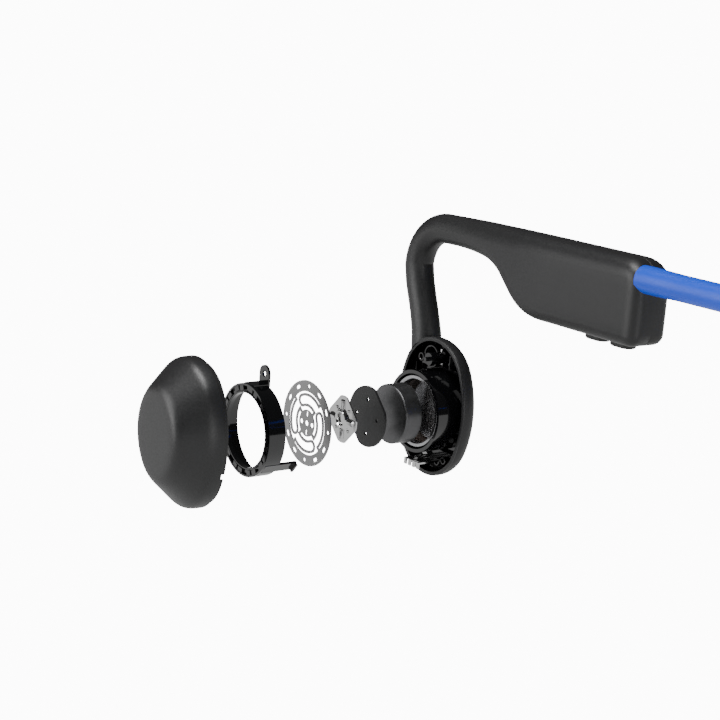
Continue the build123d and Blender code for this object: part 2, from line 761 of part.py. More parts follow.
def port_cover():
    """Flap over the charging socket, with a round bead at its front end to turn about."""
    axis_y = PORT_Y - FLAP_LENGTH / 2 + FLAP_HINGE_INSET
    axis_z = CASE_BOTTOM - RUN - FLAP_THICKNESS / 2
    end_radius = FLAP_WIDTH / 2
    bead = 2 * math.sqrt(end_radius**2 - (end_radius - FLAP_HINGE_INSET) ** 2)
    bead_start = Plane(
        origin=(POD_X + CASE_MID_X - bead / 2, axis_y, axis_z), x_dir=(0, 1, 0), z_dir=(1, 0, 0)
    )
    with BuildPart() as body:
        with BuildSketch(bottom_plane(CASE_BOTTOM - FLAP_THICKNESS - RUN)):
            with Locations((POD_X + CASE_MID_X, PORT_Y)):
                SlotOverall(FLAP_LENGTH, FLAP_WIDTH, rotation=90)
        extrude(amount=FLAP_THICKNESS)
        fillet(body.faces().sort_by(Axis.Z)[0].edges(), FLAP_EDGE)
        split(bisect_by=Plane(origin=(0, axis_y, 0), z_dir=(0, 1, 0)), keep=Keep.TOP)
        with BuildSketch(bead_start):
            Circle(FLAP_THICKNESS / 2)
        extrude(amount=bead)
    return body.part


def charge_board():
    centre_y = PORT_Y
    return block(
        CASE_MID_X, centre_y, CASE_BOTTOM + 0.2 + RECEPTACLE_HEIGHT,
        CASE_THICKNESS - 2 * CASE_WALL, 15.0, BOARD_THICKNESS, 0.6,
    )


def battery():
    base = CASE_BOTTOM + 0.2 + RECEPTACLE_HEIGHT + BOARD_THICKNESS
    return block(
        CASE_MID_X, CASE_END_Y - CASE_WALL - 0.5 - BATTERY_LENGTH / 2 - CORE_REACH, base,
        BATTERY_THICKNESS, BATTERY_LENGTH, CASE_TOP - CASE_WALL - BATTERY_GAP - base, 1.0,
    )


def upright_rod(y, z, radius, height):
    """Upright round rod on the housing's mid-plane."""
    with BuildPart() as body:
        with BuildSketch(bottom_plane(z)):
            with Locations((POD_X + CASE_MID_X, y)):
                Circle(radius)
        extrude(amount=height)
    return body.part


def status_light():
    """Small light guide flush in the right housing's underside."""
    return upright_rod(LIGHT_Y, CASE_BOTTOM, LIGHT_RADIUS, CASE_WALL + LIGHT_PROUD)


def multi_oval(extra):
    return oval(MULTI_HALF_WIDTH + extra, MULTI_HALF_HEIGHT + extra, MULTI_RADIUS + extra)


def multi_button(seam):
    """Wide oval button that stands a little proud of the cover's face."""
    face = seam + COVER_DEPTH
    with BuildPart() as body:
        with BuildSketch(side_plane(face - COVER_WALL - RUN)):
            add(multi_oval(0))
        extrude(amount=COVER_WALL + RUN + MULTI_PROUD)
        fillet(body.faces().sort_by(Axis.X)[-1].edges(), MULTI_EDGE)
        with BuildSketch(side_plane(face - COVER_WALL - RUN)):
            add(multi_oval(MULTI_FLANGE_LAP))
        extrude(amount=-MULTI_FLANGE)
    return body.part


def button_board():
    """Round board that lies on the retaining ring's front, behind the button."""
    with BuildPart() as body:
        with BuildSketch(side_plane(RING_FRONT_IN)):
            Circle(RING_RADIUS - RING_WALL / 2)
        extrude(amount=BUTTON_BOARD_THICKNESS)
    return body.part


def button_switch():
    """Low dome switch between the round board and the button's flange."""
    base = RING_FRONT_IN + BUTTON_BOARD_THICKNESS
    flange_x = RIM_X + COVER_DEPTH - COVER_WALL - RUN - MULTI_FLANGE
    with BuildPart() as body:
        with BuildSketch(side_plane(base)):
            Circle(BUTTON_SWITCH_RADIUS)
        extrude(amount=flange_x - MULTI_TRAVEL - FIT - base)
    return body.part


def multi_hole(seam):
    with BuildPart() as body:
        with BuildSketch(side_plane(seam + COVER_DEPTH - 2 * COVER_WALL)):
            add(multi_oval(RUN))
        extrude(amount=3 * COVER_WALL)
    return body.part


def neckband_tube(start_y, radius, bore):
    """Round band: a straight run back from each housing and a half circle between them."""
    bend_y = CASE_END_Y + BAND_STRAIGHT
    with BuildPart() as body:
        for side in (1, -1):
            with BuildSketch(cross_plane(start_y)):
                with Locations((-side * BAND_HALF_SPAN, BAND_Z)):
                    Circle(radius)
            extrude(amount=bend_y - start_y)
        with BuildSketch(cross_plane(bend_y)):
            with Locations((-BAND_HALF_SPAN, BAND_Z)):
                Circle(radius)
        revolve(axis=Axis((0, bend_y, 0), (0, 0, 1)), revolution_arc=180)
        if bore > 0:
            add(neckband_tube(start_y, bore, 0), mode=Mode.SUBTRACT)
    return body.part


def save(piece, name):
    piece.label = name
    export_step(piece, f"parts/{name}.step")


def save_mirrored(piece, name):
    """Write the piece's mirror image, which belongs to the right side."""
    save(mirror(piece, about=Plane.YZ), name)


def save_both(piece, name):
    save(piece, "left_" + name)
    save_mirrored(piece, "right_" + name)


def build_pods():
    save_both(dish(), "pod_housing")
    save_both(skin_pad(), "skin_pad")
    save_both(yoke(), "yoke")
    save_both(voice_coil(), "voice_coil")
    save_both(contact_pins(), "contact_pins")
    places = (
        (magnet, "magnet", MAGNET_FRONT_OUT, MAGNET_FRONT_IN),
        (pole_plate, "pole_plate", PLATE_FRONT_OUT, PLATE_FRONT_IN),
        (hub_clip, "hub_clip", CLIP_FRONT_OUT, CLIP_FRONT_IN),
        (leaf_spring, "leaf_spring", SPRING_FRONT_OUT, SPRING_FRONT_IN),
        (retaining_ring, "retaining_ring", RING_FRONT_OUT, RING_FRONT_IN),
    )
    for make, name, out, home in places:
        save(make(out), "left_" + name)
        save_mirrored(make(home), "right_" + name)
    save(cover(COVER_SEAM_OUT), "left_cover")
    with BuildPart() as pierced:
        add(cover(RIM_X))
        add(multi_hole(RIM_X), mode=Mode.SUBTRACT)
    save_mirrored(pierced.part, "right_cover")
    save_mirrored(multi_button(RIM_X), "multifunction_button")
    save_mirrored(button_board(), "button_board")
    save_mirrored(button_switch(), "button_switch")


def build_cases():
    save_both(hook(), "ear_hook")
    button_cuts = [slot_cutter(y, BUTTON_LENGTH + 2 * RUN, BUTTON_WIDTH + 2 * RUN, 3) for y in BUTTON_Y]
    port_cuts = [
        slot_cutter(PORT_Y, PORT_LENGTH + 2 * FIT, PORT_WIDTH + 2 * FIT, 3),
        upright_rod(LIGHT_Y, CASE_BOTTOM - 1, LIGHT_RADIUS + FIT, 3),
    ]
    save(case_half(True, button_cuts), "left_case_outer")
    save(case_half(False, button_cuts), "left_case_inner")
    save_mirrored(case_half(True, port_cuts), "right_case_outer")
    save_mirrored(case_half(False, port_cuts), "right_case_inner")
    for y, name in zip(BUTTON_Y, ("volume_up_button", "volume_down_button")):
        save(volume_button(y), name)
    save(volume_switches(), "volume_switches")
    save(left_board(), "main_board")
    save_mirrored(port_receptacle(), "charging_socket")
    save_mirrored(port_cover(), "charging_port_cover")
    save_mirrored(charge_board(), "charging_board")
    save_mirrored(battery(), "battery")
    save_mirrored(status_light(), "status_light")


def build_band():
    start = CASE_END_Y - BAND_SEAT
    save(neckband_tube(start, BAND_DIAMETER / 2, CORE_DIAMETER / 2), "neckband")
    save(neckband_tube(start - CORE_REACH, CORE_DIAMETER / 2, 0), "neckband_core")


build_pods()
build_cases()
build_band()
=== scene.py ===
import math
import bpy
import bmesh
from mathutils import Matrix, Vector


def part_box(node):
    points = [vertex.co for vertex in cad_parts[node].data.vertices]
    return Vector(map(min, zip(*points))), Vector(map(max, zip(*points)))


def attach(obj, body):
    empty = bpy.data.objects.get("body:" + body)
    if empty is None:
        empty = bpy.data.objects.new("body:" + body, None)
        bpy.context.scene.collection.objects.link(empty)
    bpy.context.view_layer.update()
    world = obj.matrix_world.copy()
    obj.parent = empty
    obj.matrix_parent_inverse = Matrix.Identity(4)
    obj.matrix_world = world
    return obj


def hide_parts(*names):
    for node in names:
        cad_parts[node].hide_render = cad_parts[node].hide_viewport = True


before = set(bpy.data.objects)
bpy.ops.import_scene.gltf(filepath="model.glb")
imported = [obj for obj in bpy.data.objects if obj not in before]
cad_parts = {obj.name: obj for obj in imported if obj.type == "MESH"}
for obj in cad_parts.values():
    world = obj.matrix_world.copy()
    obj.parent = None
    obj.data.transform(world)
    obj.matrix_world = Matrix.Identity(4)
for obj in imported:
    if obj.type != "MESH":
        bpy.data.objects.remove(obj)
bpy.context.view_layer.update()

# Bone conduction headphones with the left pod drawn apart along its axis.
# Sizes are in millimetres in each pod's own frame: x grows outward from the front rim of the
# transducer's boss, y runs back and z up. place() turns them into metres in the row frame.
MM = 0.001
POD_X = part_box("left_pod_housing")[1].x / MM
COVER_DEPTH = 8.8           # seam to the middle of the cover's face
RIM_X = -4.4
COVER_SEAM = {"left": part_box("left_cover")[1].x / MM - POD_X - COVER_DEPTH, "right": RIM_X}
RING_FRONT = {"left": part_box("left_retaining_ring")[1].x / MM - POD_X,
              "right": -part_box("right_retaining_ring")[0].x / MM - POD_X}
CLIP_FRONT = {"left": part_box("left_hub_clip")[1].x / MM - POD_X,
              "right": -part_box("right_hub_clip")[0].x / MM - POD_X}
SIDES = ("left", "right")
POD_HALF_WIDTH = 11.2
POD_HALF_HEIGHT = 14.8
POD_END_RADIUS = 10.2
POD_LIFT = 0.6              # middle of the oval above the transducer axis
DISH_BACK_X = -8.8
DISH_FLOOR_X = -7.6
DISH_EDGE = 3.2             # rounding of the dish's back edge
CLIP_BODY = {"left": "left_hub_clip", "right": "right_moving_magnet"}
COVER_BODY = {"left": "left_cover", "right": "headset"}
RING_BODY = {"left": "left_retaining_ring", "right": "headset"}


def place(side, x, y, z):
    """Pod millimetres on one side to metres in the row frame."""
    sign = 1 if side == "left" else -1
    return Vector((sign * (POD_X + x) * MM, y * MM, z * MM))


# --- mesh helpers -------------------------------------------------------------
def build(name, points, faces, sharp_angle=40):
    """A mesh object from points and faces, merged, facing outwards and smooth but for its edges."""
    mesh = bpy.data.meshes.new(name)
    mesh.from_pydata([tuple(p) for p in points], [], faces)
    ob = bpy.data.objects.new(name, mesh)
    bpy.context.scene.collection.objects.link(ob)
    settle(ob, sharp_angle)
    return ob


def settle(ob, sharp_angle=40):
    """Merges doubles, turns the faces outwards and marks the sharp edges."""
    bm = bmesh.new()
    bm.from_mesh(ob.data)
    bmesh.ops.remove_doubles(bm, verts=bm.verts, dist=1e-7)
    bmesh.ops.dissolve_degenerate(bm, edges=bm.edges, dist=1e-8)
    bmesh.ops.recalc_face_normals(bm, faces=bm.faces)
    limit = math.radians(sharp_angle)
    for face in bm.faces:
        face.smooth = True
    for edge in bm.edges:
        edge.smooth = edge.calc_face_angle(0) < limit
    bm.to_mesh(ob.data)
    bm.free()


def stack(name, rings, sharp_angle=40):
    """Closed skin over rings of equal length; a ring of one point is a pole."""
    points, faces, starts = [], [], []
    for ring in rings:
        starts.append(len(points))
        points.extend(ring)
    for first, second, a, b in zip(rings, rings[1:], starts, starts[1:]):
        count = max(len(first), len(second))
        for i in range(count):
            j = (i + 1) % count
            quad = [a + i % len(first), a + j % len(first), b + j % len(second), b + i % len(second)]
            faces.append([p for k, p in enumerate(quad) if p not in quad[:k]])
    if len(rings[0]) > 1 and rings[0] is not rings[-1]:
        faces.append(list(range(len(rings[0]))))
        faces.append([starts[-1] + i for i in range(len(rings[-1]))])
    return build(name, points, [f for f in faces if len(f) > 2], sharp_angle)


def join(name, parts, sharp_angle=40):
    """One object from several, each a closed shape of its own."""
    bm = bmesh.new()
    for part in parts:
        bm.from_mesh(part.data)
        bpy.data.objects.remove(part)
    mesh = bpy.data.meshes.new(name)
    bm.to_mesh(mesh)
    bm.free()
    ob = bpy.data.objects.new(name, mesh)
    bpy.context.scene.collection.objects.link(ob)
    settle(ob, sharp_angle)
    return ob


def baked(ob):
    """Replaces the object's mesh by its evaluated result and drops its modifiers."""
    graph = bpy.context.evaluated_depsgraph_get()
    mesh = bpy.data.meshes.new_from_object(ob.evaluated_get(graph))
    ob.modifiers.clear()
    ob.data = mesh
    return ob


def carve(ob, cutter, operation="DIFFERENCE", sharp_angle=40):
    """Boolean with a cutter, which is then thrown away."""
    mod = ob.modifiers.new("cut", "BOOLEAN")
    mod.operation = operation
    mod.object = cutter
    mod.solver = "EXACT"
    bpy.context.view_layer.update()
    baked(ob)
    bpy.data.objects.remove(cutter)
    settle(ob, sharp_angle)
    return ob


def oval_point(half_width, half_height, end_radius, angle, lift):
    """Point of the four-arc oval whose outward direction is at the angle from +Y towards +Z."""
    centre = half_height - end_radius
    side_radius = (half_width**2 + centre**2 - end_radius**2) / (2 * (half_width - end_radius))
    shift = side_radius - half_width
    cos, sin = math.cos(angle), math.sin(angle)
    if abs(sin) * shift < abs(cos) * centre:
        y = side_radius * cos - math.copysign(shift, cos)
        z = side_radius * sin
    else:
        y = end_radius * cos
        z = math.copysign(centre, sin) + end_radius * sin
    return y, z + lift


def oval_ring(side, x, half_width, half_height, end_radius, count=96, lift=POD_LIFT):
    ring = []
    for i in range(count):
        y, z = oval_point(half_width, half_height, end_radius, 2 * math.pi * (i + 0.5) / count, lift)
        ring.append(place(side, x, y, z))
    return ring


def pod_ring(side, x, inset):
    """Oval of the pod's own outline, moved inwards by the inset."""
    return oval_ring(side, x, POD_HALF_WIDTH - inset, POD_HALF_HEIGHT - inset, POD_END_RADIUS - inset)


def spline(rows, steps):
    """Smooth rows of numbers between the given rows, through every one of them."""
    out = []
    for i in range(len(rows) - 1):
        before = rows[max(i - 1, 0)]
        after = rows[min(i + 2, len(rows) - 1)]
        a, b = rows[i], rows[i + 1]
        for k in range(steps):
            t = k / steps
            out.append([
                0.5 * (2 * q + (r - p) * t + (2 * p - 5 * q + 4 * r - s) * t * t
                       + (3 * q - p - 3 * r + s) * t**3)
                for p, q, r, s in zip(before, a, b, after)
            ])
    out.append(list(rows[-1]))
    return out


def turned(name, side, profile, centre=(0.0, 0.0), count=64, sharp_angle=30):
    """Closed round shape about an axis along x, from (x, radius) rows."""
    rings = []
    for x, radius in profile:
        ring = []
        for i in range(count):
            a = 2 * math.pi * i / count
            ring.append(place(side, x, centre[0] + radius * math.cos(a), centre[1] + radius * math.sin(a)))
        rings.append(ring)
    rings.append(rings[0])
    return stack(name, rings, sharp_angle)


def bar(name, side, x, y, z, chamfer=0.06):
    """Chamfered block between pairs of x, y and z."""
    bm = bmesh.new()
    bmesh.ops.create_cube(bm, size=1)
    low, high = place(side, x[0], y[0], z[0]), place(side, x[1], y[1], z[1])
    size = Vector([abs(h - g) for g, h in zip(low, high)])
    bmesh.ops.transform(bm, verts=bm.verts, matrix=Matrix.Translation((low + high) / 2) @ Matrix.Diagonal(
        (*size, 1)))
    bmesh.ops.bevel(bm, geom=bm.edges[:], offset=chamfer * MM, segments=2, affect="EDGES", profile=0.7)
    mesh = bpy.data.meshes.new(name)
    bm.to_mesh(mesh)
    bm.free()
    ob = bpy.data.objects.new(name, mesh)
    bpy.context.scene.collection.objects.link(ob)
    settle(ob)
    return ob


# --- materials ------------------------------------------------------------------
def finish(name, colour, rough, metal=0.0, spread=0.06, bump=0.1, grain=900.0, coat=0.0, stretch=None,
           specular=0.5, wear=0.15, sheen=0.0):
    """Moulded, painted or metal finish with fine grain in its colour, roughness and relief."""
    mat = bpy.data.materials.new(name)
    mat.use_nodes = True
    tree = mat.node_tree
    tree.nodes.clear()
    node, link = tree.nodes.new, tree.links.new
    out = node("ShaderNodeOutputMaterial")
    shader = node("ShaderNodeBsdfPrincipled")
    link(shader.outputs[0], out.inputs["Surface"])
    shader.inputs["Metallic"].default_value = metal
    shader.inputs["Specular IOR Level"].default_value = specular
    shader.inputs["Coat Weight"].default_value = coat
    shader.inputs["Coat Roughness"].default_value = 0.06
    shader.inputs["Sheen Weight"].default_value = sheen
    coords = node("ShaderNodeTexCoord")
    scale = node("ShaderNodeMapping")
    scale.inputs["Scale"].default_value = stretch or (1, 1, 1)
    link(coords.outputs["Object"], scale.inputs["Vector"])
    fine = node("ShaderNodeTexNoise")
    fine.inputs["Scale"].default_value = grain
    fine.inputs["Detail"].default_value = 5
    link(scale.outputs[0], fine.inputs["Vector"])
    broad = node("ShaderNodeTexNoise")
    broad.inputs["Scale"].default_value = grain / 14
    broad.inputs["Detail"].default_value = 3
    link(coords.outputs["Object"], broad.inputs["Vector"])
    tint = node("ShaderNodeMix")
    tint.data_type = "RGBA"
    tint.inputs["A"].default_value = (*[c * (1 - wear) for c in colour], 1)
    tint.inputs["B"].default_value = (*[min(c * (1 + wear), 1) for c in colour], 1)
    link(broad.outputs["Fac"], tint.inputs["Factor"])
    link(tint.outputs["Result"], shader.inputs["Base Color"])
    gloss = node("ShaderNodeMapRange")
    gloss.inputs["From Min"].default_value = 0.3
    gloss.inputs["From Max"].default_value = 0.7
    gloss.inputs["To Min"].default_value = max(rough - spread, 0.02)
    gloss.inputs["To Max"].default_value = rough + spread
    link(fine.outputs["Fac"], gloss.inputs["Value"])
    link(gloss.outputs[0], shader.inputs["Roughness"])
    relief = node("ShaderNodeBump")
    relief.inputs["Strength"].default_value = bump
    relief.inputs["Distance"].default_value = 0.00004
    link(fine.outputs["Fac"], relief.inputs["Height"])
    link(relief.outputs[0], shader.inputs["Normal"])
    return mat


SOFT = finish("soft_touch_black", (0.0115, 0.0115, 0.012), 0.42, bump=0.06, grain=2600, wear=0.08,
              specular=0.45)
COVER = finish("soft_touch_cover", (0.013, 0.013, 0.0135), 0.40, bump=0.05, grain=2600, wear=0.06,
               specular=0.5)
GLOSS = finish("gloss_black_moulding", (0.0025, 0.0025, 0.003), 0.09, spread=0.03, bump=0.03, grain=500,
               coat=0.5)
BAND = finish("blue_silicone", (0.002, 0.050, 0.50), 0.40, bump=0.06, grain=2200, wear=0.08)
SPRING = finish("spring_steel", (0.30, 0.30, 0.30), 0.27, metal=1.0, bump=0.10, grain=900,
                stretch=(1, 0.08, 1))
BRIGHT = finish("nickel_plate", (0.62, 0.62, 0.62), 0.10, metal=1.0, spread=0.03, bump=0.015, grain=700)
YOKE = finish("turned_steel", (0.42, 0.42, 0.43), 0.26, metal=1.0, bump=0.03, grain=1400)
MAGNET = finish("coated_magnet", (0.110, 0.110, 0.113), 0.33, metal=0.9, bump=0.03, grain=1200)
PLATE = finish("black_oxide", (0.016, 0.016, 0.0165), 0.36, metal=0.35, bump=0.03, grain=1500)
COPPER = finish("enamelled_copper", (0.030, 0.018, 0.013), 0.42, metal=0.2, bump=0.05, grain=900)
BOARD = finish("solder_mask", (0.012, 0.075, 0.032), 0.35, bump=0.08, grain=1100, coat=0.3)
CELL = finish("cell_wrap", (0.30, 0.31, 0.33), 0.38, bump=0.15, grain=420, coat=0.2)
SWITCH = finish("switch_moulding", (0.018, 0.018, 0.018), 0.4, bump=0.08, grain=1500)
GUIDE = finish("frosted_guide", (0.72, 0.78, 0.84), 0.3, bump=0.05, grain=1400, coat=0.3)
WIRE = finish("drawn_titanium", (0.45, 0.44, 0.42), 0.32, metal=1.0, bump=0.08, grain=900,
              stretch=(1, 0.1, 1))
PAD = finish("pad_silicone", (0.024, 0.024, 0.025), 0.62, bump=0.2, grain=1900, wear=0.1, sheen=0.15)

CAD_FINISH = {
    "pod_housing": GLOSS, "yoke": YOKE, "contact_pins": BRIGHT, "magnet": MAGNET, "pole_plate": PLATE,
    "leaf_spring": SPRING, "retaining_ring": GLOSS, "multifunction_button": SOFT, "button_board": BOARD,
    "button_switch": SWITCH, "volume_up_button": SOFT, "volume_down_button": SOFT, "volume_switches": SWITCH,
    "main_board": BOARD, "charging_socket": BRIGHT, "charging_port_cover": SOFT, "charging_board": BOARD,
    "battery": CELL, "status_light": GUIDE, "neckband_core": WIRE, "hub_clip": BRIGHT,
}


def put(ob, material, body, node_slot, *replaced):
    """Gives a piece its finish and its body, and hides the CAD nodes that it stands for."""
    ob.data.materials.clear()
    ob.data.materials.append(material)
    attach(ob, body)
    if replaced:
        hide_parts(*replaced)
    return ob


# --- camera, light and floor ------------------------------------------------------
WHITE_SEEN = 12.0           # brightness of the white that the view sees behind the object
ROOM_LIGHT = 0.22
ROOM_MIRRORED = 0.05        # what gloss mirrors above the horizon, and from the floor
FLOOR_MIRRORED = 0.9
FLOOR_Z = -0.09
VIEW_AZIMUTH, VIEW_ELEVATION, VIEW_ROLL = 144.17, 12.73, 4.11
VIEW_LENS = 75
VIEW_DISTANCE = 313.7       # from the left boss's rim, along the view
VIEW_SIDE, VIEW_DROP = 11.1, 10.7   # where the rim lies from the view's middle


def view_axes():
    a, e, r = (math.radians(v) for v in (VIEW_AZIMUTH, VIEW_ELEVATION, VIEW_ROLL))
    back = Vector((math.sin(a) * math.cos(e), -math.cos(a) * math.cos(e), math.sin(e)))
    flat = Vector((math.cos(a), math.sin(a), 0))
    rise = back.cross(flat)
    right = flat * math.cos(r) + rise * math.sin(r)
    up = rise * math.cos(r) - flat * math.sin(r)
    return right, up, back


def make_camera():
    right, up, back = view_axes()
    data = bpy.data.cameras.new("view")
    data.lens = VIEW_LENS
    data.sensor_width = 36
    data.clip_start, data.clip_end = 0.01, 10
    cam = bpy.data.objects.new("view", data)
    bpy.context.scene.collection.objects.link(cam)
    spot = place("left", 0, 0, 0) + (back * VIEW_DISTANCE - right * VIEW_SIDE + up * VIEW_DROP) * MM
    cam.matrix_world = Matrix.Translation(spot) @ Matrix((right, up, back)).transposed().to_4x4()
    bpy.context.scene.camera = cam


def area(name, at, aim, size, power, colour=(1, 1, 1)):
    light = bpy.data.lights.new(name, "AREA")
    light.shape = "RECTANGLE"
    light.size, light.size_y = size
    light.energy = power
    light.color = colour
    ob = bpy.data.objects.new(name, light)
    ob.location = at
    ob.rotation_mode = "QUATERNION"
    ob.rotation_quaternion = (Vector(aim) - Vector(at)).to_track_quat("-Z", "Y")
    bpy.context.scene.collection.objects.link(ob)


def white_behind(tree, plain, out_socket, mirrored):
    """The view sees clean white, gloss mirrors a set brightness and the plain shader lights the rest."""
    path = tree.nodes.new("ShaderNodeLightPath")
    kind = "ShaderNodeBackground" if plain.type == "BACKGROUND" else "ShaderNodeEmission"
    before = plain.outputs[0]
    for ray, brightness in (("Is Glossy Ray", mirrored), ("Is Camera Ray", WHITE_SEEN)):
        glow = tree.nodes.new(kind)
        glow.inputs[0].default_value = (1, 1, 1, 1)
        glow.inputs[1].default_value = brightness
        mix = tree.nodes.new("ShaderNodeMixShader")
        tree.links.new(path.outputs[ray], mix.inputs[0])
        tree.links.new(before, mix.inputs[1])
        tree.links.new(glow.outputs[0], mix.inputs[2])
        before = mix.outputs[0]
    tree.links.new(before, out_socket)


def make_studio():
    floor = build("floor", [(x, y, FLOOR_Z) for x, y in ((-3, -3), (3, -3), (3, 3), (-3, 3))], [[0, 1, 2, 3]])
    mat = bpy.data.materials.new("floor_paper")
    mat.use_nodes = True
    shader = mat.node_tree.nodes["Principled BSDF"]
    shader.inputs["Base Color"].default_value = (0.93, 0.93, 0.93, 1)
    shader.inputs["Roughness"].default_value = 0.9
    white_behind(mat.node_tree, shader, mat.node_tree.nodes["Material Output"].inputs[0], FLOOR_MIRRORED)
    floor.data.materials.append(mat)
    world = bpy.data.worlds.new("studio")
    world.use_nodes = True
    sky = world.node_tree.nodes["Background"]
    sky.inputs[0].default_value = (1, 1, 1, 1)
    sky.inputs[1].default_value = ROOM_LIGHT
    white_behind(world.node_tree, sky, world.node_tree.nodes["World Output"].inputs[0], ROOM_MIRRORED)
    bpy.context.scene.world = world
    middle = (0.06, 0.02, 0.02)
    area("top_light", (0.20, 0.05, 0.60), middle, (0.5, 0.25), 5)
    area("key_light", (0.95, -0.25, 0.25), middle, (0.8, 0.8), 9)
    area("rear_light", (0.10, 0.95, -0.05), middle, (0.5, 0.5), 2.5)


# --- ear hook and rear housing ----------------------------------------------------
# Along the stem and the bend: y, z, radius of the tube
STEM = [(-6.3, 9.5, 3.25), (-6.6, 12.5, 3.25), (-7.1, 15.4, 3.15), (-8.3, 19.4, 3.05), (-9.6, 22.9, 3.05),
        (-10.7, 26.0, 3.08)]
BEND_CENTRE = (-2.0, 28.7)
BEND_RADIUS = 9.25
# Along the housing: y, middle x, half thickness, bottom, top, radius of the top and bottom edges
HOUSING = [
    (2.0, -7.35, 3.12, 34.95, 41.15, 3.10, 3.10),
    (5.8, -7.32, 3.20, 34.85, 41.25, 3.15, 3.15),
    (9.5, -7.25, 3.40, 34.60, 41.35, 3.25, 3.20),
    (13.0, -7.18, 3.62, 34.15, 41.40, 3.35, 3.10),
    (16.0, -7.10, 3.85, 33.30, 41.40, 3.40, 2.90),
    (18.7, -7.05, 4.05, 31.90, 41.40, 3.40, 2.70),
    (21.7, -7.00, 4.25, 29.45, 41.40, 3.40, 2.50),
    (24.2, -6.95, 4.40, 27.60, 41.40, 3.40, 2.30),
    (27.0, -6.92, 4.50, 26.25, 41.40, 3.40, 2.20),
    (30.5, -6.90, 4.58, 25.62, 41.40, 3.40, 2.10),
    (36.0, -6.90, 4.60, 25.60, 41.40, 3.40, 2.10),
    (44.0, -6.90, 4.60, 25.60, 41.40, 3.40, 2.10),
    (50.0, -6.90, 4.60, 25.60, 41.40, 3.40, 2.10),
]
REAR_Y = 57.5
REAR_RADIUS = 2.3
REAR_TOP_RADIUS = 4.6
SEAM_HALF_WIDTH = 0.09
SEAM_DEPTH = 0.12
CORNER_STEPS = 10
SIDE_STEPS = 6


def rounded_section(half, low, high, top_radius, low_radius, seam):
    """Rounded box outline: pairs of offset across and height, in order round the outline."""
    top_radius = min(top_radius, half - 0.02)
    low_radius = min(low_radius, half - 0.02)
    groove = min(SEAM_HALF_WIDTH, 0.6 * (half - max(top_radius, low_radius)))
    outline = []

    def corner(cx, cz, radius, start):
        for k in range(CORNER_STEPS + 1):
            a = start + math.pi / 2 * k / CORNER_STEPS
            outline.append((cx + radius * math.cos(a), cz + radius * math.sin(a)))

    def run(first, last):
        for k in range(1, SIDE_STEPS):
            t = k / SIDE_STEPS
            outline.append((first[0] + (last[0] - first[0]) * t, first[1] + (last[1] - first[1]) * t))

    corner(half - top_radius, high - top_radius, top_radius, 0)
    for off, drop in ((groove, 0), (0, SEAM_DEPTH * seam), (-groove, 0)):
        outline.append((off, high - drop))
    corner(-half + top_radius, high - top_radius, top_radius, math.pi / 2)
    run((-half, high - top_radius), (-half, low + low_radius))
    corner(-half + low_radius, low + low_radius, low_radius, math.pi)
    for off, drop in ((-groove, 0), (0, SEAM_DEPTH * seam), (groove, 0)):
        outline.append((off, low + drop))
    corner(half - low_radius, low + low_radius, low_radius, 3 * math.pi / 2)
    run((half, low + low_radius), (half, high - top_radius))
    return outline


def tube_sections():
    """Stem and bend of the hook: rings of a round tube square to its path."""
    path = spline(STEM, 5)[:-1]
    for degrees in range(178, 90, -6):
        a = math.radians(degrees)
        path.append([BEND_CENTRE[0] + BEND_RADIUS * math.cos(a), BEND_CENTRE[1] + BEND_RADIUS * math.sin(a),
                     3.08 + 0.02 * (178 - degrees) / 88])
    return path


def shell_rings(side):
    rings = []
    path = tube_sections()
    for i, (y, z, radius) in enumerate(path):
        y0, z0, _ = path[max(i - 1, 0)]
        y1, z1, _ = path[min(i + 1, len(path) - 1)]
        run = Vector((y1 - y0, z1 - z0)).normalized()
        ring = []
        for across, height in rounded_section(radius, -radius, radius, radius, radius, 0):
            # the section's height points away from the bend's centre
            ring.append(place(side, -7.35 + across, y - run.y * height, z + run.x * height))
        rings.append(ring)
    rows = spline(HOUSING, 5)
    last = rows[-1]
    for y, mid, half, low, high, top, bottom in rows:
        seam = min(max((y - 27) / 4, 0), 1)
        rings.append(case_ring(side, y, mid, half, low, high, top, bottom, seam))
    steps = 12
    for k in range(1, steps + 1):
        a = math.pi / 2 * k / steps
        y = last[0] + (REAR_Y - last[0]) * math.sin(a)
        inset = corner_inset(y, REAR_RADIUS)
        top_inset = corner_inset(y, REAR_TOP_RADIUS)
        rings.append(case_ring(
            side, y, last[1], last[2] - inset, last[3] + inset, last[4] - top_inset,
            max(last[5] - 0.5 * top_inset, 1.2), max(last[6] - inset, 0.5), 1))
    return rings


def corner_inset(y, radius):
    """How far a rounded rear edge has drawn in at y."""
    into = max(y - (REAR_Y - radius), 0)
    return radius - math.sqrt(max(radius**2 - into**2, 0))


def case_ring(side, y, mid, half, low, high, top, bottom, seam):
    return [place(side, mid + across, y, height)
            for across, height in rounded_section(half, low, high, top, bottom, seam)]


def dish_solid(name, side, inset):
    """Solid in the shape of the dish's outside, moved inward by inset."""
    rings = [[place(side, DISH_BACK_X + inset, 0, POD_LIFT)]]
    for k in range(9):
        a = math.pi / 2 * k / 8
        x = DISH_BACK_X + 3.2 - (3.2 - inset) * math.cos(a)
        step = 3.2 - (3.2 - inset) * math.sin(a)
        rings.append(pod_ring(side, x, step))
    rings.append(pod_ring(side, RIM_X + 3, inset))
    rings.append([place(side, RIM_X + 3, 0, POD_LIFT)])
    return stack(name, rings)


def make_shell(side):
    shell = stack(f"{side}_hook_and_housing", shell_rings(side), 32)
    carve(shell, dish_solid("cutter", side, 0.3), sharp_angle=32)
    put(shell, SOFT, "headset", "soft_black", f"{side}_ear_hook", f"{side}_case_outer", f"{side}_case_inner")


